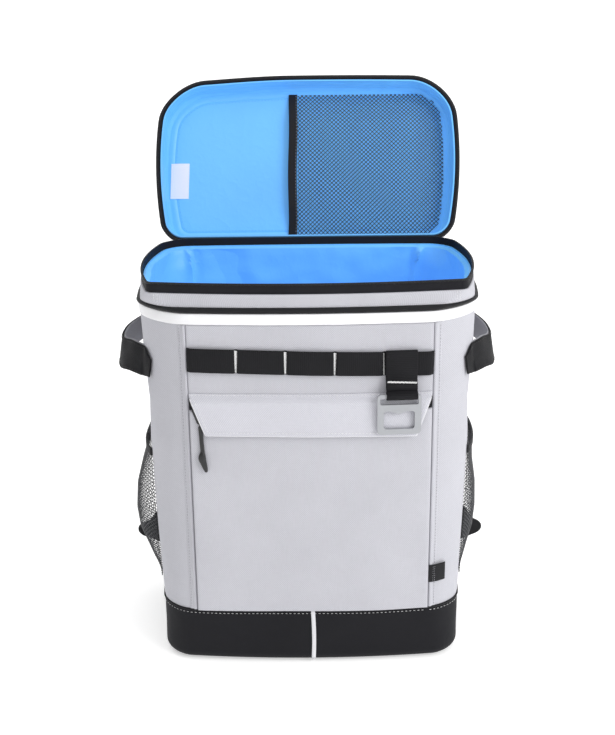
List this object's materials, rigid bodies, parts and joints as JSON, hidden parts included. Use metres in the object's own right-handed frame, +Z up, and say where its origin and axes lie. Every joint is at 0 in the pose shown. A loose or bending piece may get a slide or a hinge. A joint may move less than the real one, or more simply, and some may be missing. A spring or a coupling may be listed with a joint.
{
  "type": "cooler backpack",
  "caption": "Soft insulated backpack standing with its zipped lid open, with a front pocket, side net pockets, side handles, shoulder straps and a bottle opener on a webbing loop.",
  "frame": {"origin": "middle of the base, on the floor", "axes": "+Z up; -Y towards the front, the side with the zipped pocket; +X towards the side with the label tab"},
  "size_m": [0.4174, 0.3178, 0.5922],
  "materials": {
    "cloth": "grey woven cloth, matt",
    "band": "white coated cloth, satin",
    "black": "black webbing, matt",
    "boot": "black coated cloth, slight sheen",
    "blue": "blue coated lining, satin",
    "net": "black netting, matt",
    "lining": "grey wrinkled cloth, matt",
    "metal": "brushed",
    "plastic": "satin",
    "paper": "white tape, matt"
  },
  "bodies": {
    "bag": {"base_boot": "boot", "foot_piping": "cloth", "body_shell": "cloth", "inner_liner": "blue", "white_band": "band", "body_piping": "black", "collar": "cloth", "rim_zipper": "black", "front_panel": "cloth", "seam_right": "cloth", "seam_left": "cloth", "daisy_chain": "black", "pocket_zipper": "black", "pocket_panel": "cloth", "pocket_flap": "cloth", "zip_slider": "plastic", "zip_pull": "plastic", "label_tab": "black", "handle_right": "black", "handle_left": "black", "handle_lining_right": "lining", "handle_lining_left": "lining", "net_right": "net", "net_left": "net", "net_binding_right": "black", "net_binding_left": "black", "back_panel": "cloth", "hinge_tape": "black", "strap_right": "cloth", "strap_left": "cloth", "strap_webbing_right": "black", "strap_webbing_left": "black", "strap_buckle_right": "plastic", "strap_buckle_left": "plastic", "strap_wing_right": "black", "strap_wing_left": "black", "lid_shell": "cloth", "lid_liner": "blue", "lid_zipper": "black", "lid_net": "net", "lid_net_binding": "black", "care_tag": "paper", "opener_loop": "black"},
    "opener": {"bottle_opener": "metal"}
  },
  "joints": [
    {"name": "opener_swing", "type": "hinge", "parent": "bag", "child": "opener", "pos_m": [0.09046, -0.11611, 0.3063], "axis": [-0.9977, -0.0682, 0], "range_deg": [0, 110]}
  ]
}
